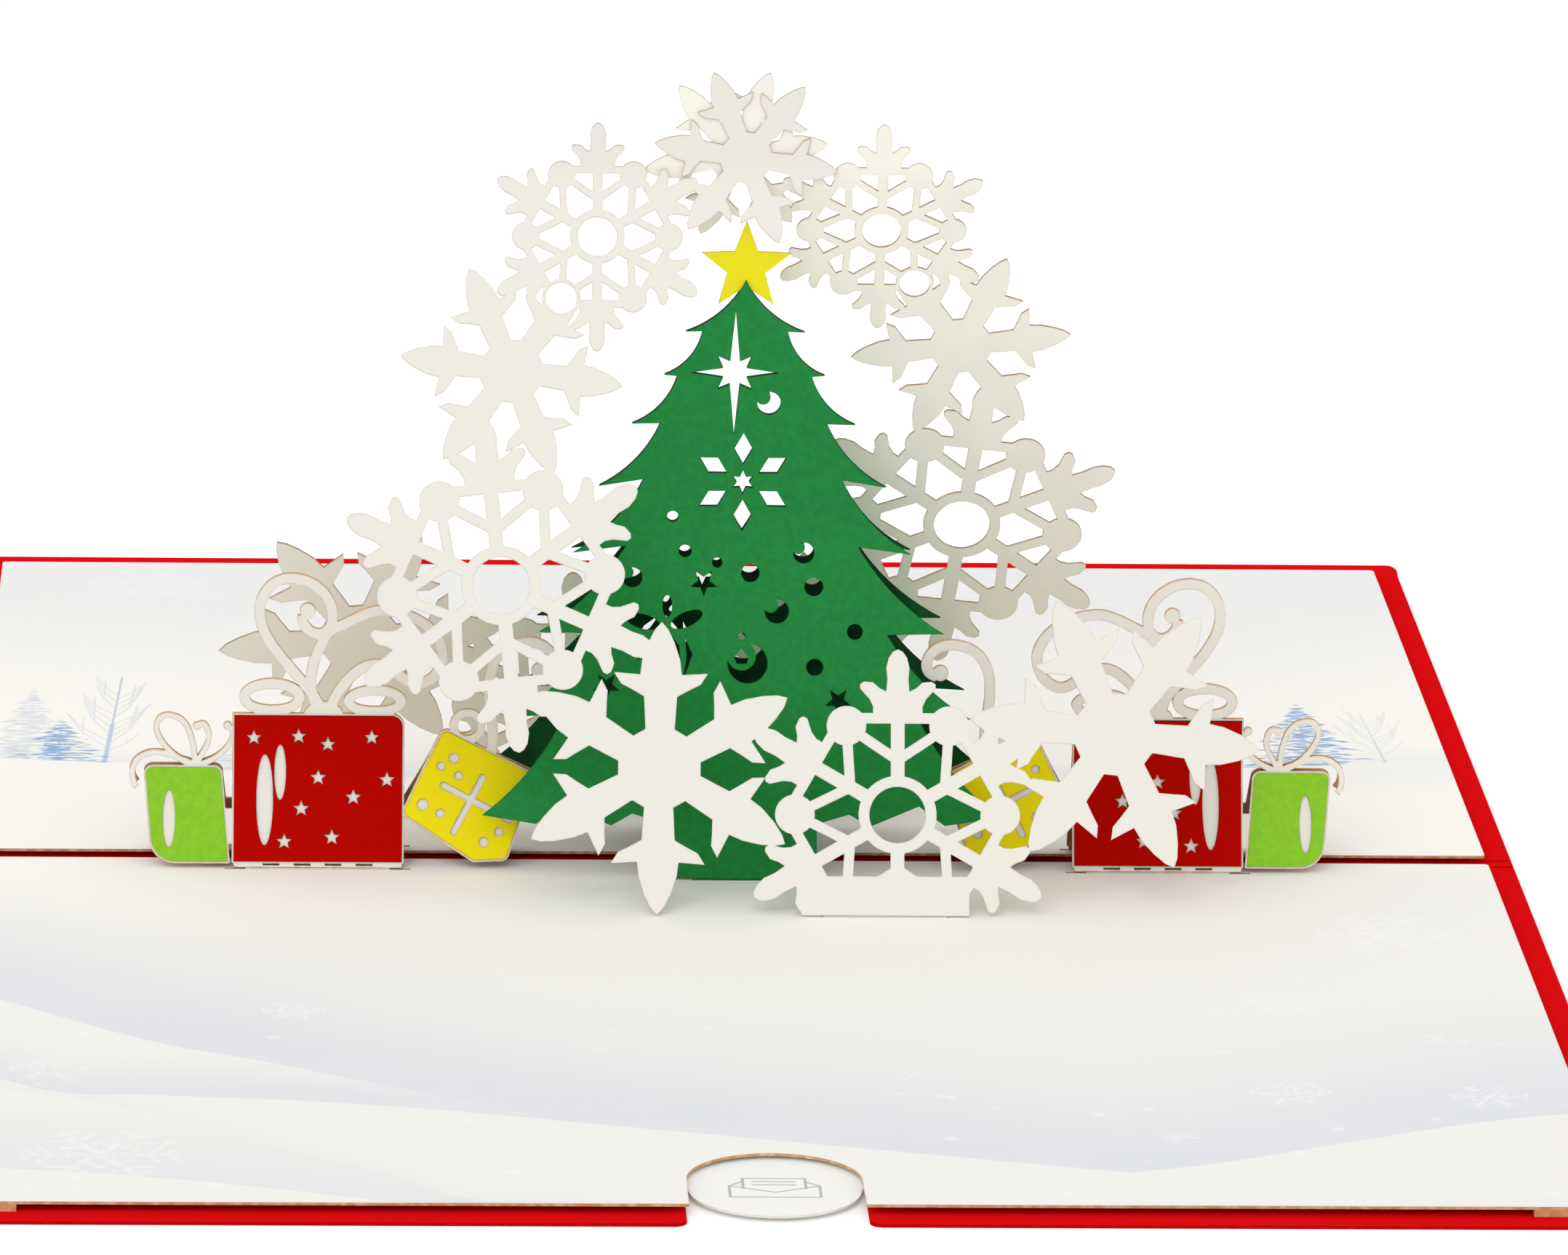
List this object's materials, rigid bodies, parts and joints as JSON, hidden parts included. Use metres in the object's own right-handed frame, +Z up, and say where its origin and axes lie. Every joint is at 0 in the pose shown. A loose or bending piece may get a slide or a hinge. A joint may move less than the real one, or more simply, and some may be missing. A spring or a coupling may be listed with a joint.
{
  "type": "pop up card",
  "caption": "Folded card lying open, with an arch of snowflakes, a tree and rows of gifts cut from card standing over the fold, and a message slip that pulls out by a round tab.",
  "frame": {"origin": "centre of the card's fold on the surface that it lies on", "axes": "+X along the fold to the right, +Y from the reader's half to the far half, +Z up"},
  "size_m": [0.2, 0.3, 0.1025],
  "materials": {
    "red_card": "smooth, slightly satin",
    "printed_page": "smooth, faintly printed",
    "white_card": "matt, with scorched cut edges",
    "green_card": "matt, with dark cut edges",
    "yellow_card": "matt",
    "red_paper": "matt",
    "lime_paper": "matt",
    "yellow_paper": "matt"
  },
  "bodies": {
    "card": {"cover": "red_card", "front_page": "printed_page", "back_page": "printed_page", "pocket_strips": "white_card", "back_page_strips": "white_card", "wreath_front": "white_card", "wreath_back": "white_card", "tree_front": "green_card", "tree_back": "green_card", "tree_star": "yellow_card", "gifts_left_front": "white_card", "gifts_left_rear": "white_card", "gifts_right_front": "white_card", "gifts_right_rear": "white_card", "red_paper_left_front": "red_paper", "red_paper_left_rear": "red_paper", "red_paper_right_front": "red_paper", "red_paper_right_rear": "red_paper", "green_paper_left_front": "lime_paper", "green_paper_left_rear": "lime_paper", "green_paper_right_front": "lime_paper", "green_paper_right_rear": "lime_paper", "yellow_paper_left_front": "yellow_paper", "yellow_paper_left_rear": "yellow_paper", "yellow_paper_right_front": "yellow_paper", "yellow_paper_right_rear": "yellow_paper"},
    "slip": {"message_slip": "white_card"}
  },
  "joints": [
    {"name": "slip_pull", "type": "slide", "parent": "card", "child": "slip", "axis": [0, -1, 0], "range_m": [0, 0.085]}
  ]
}
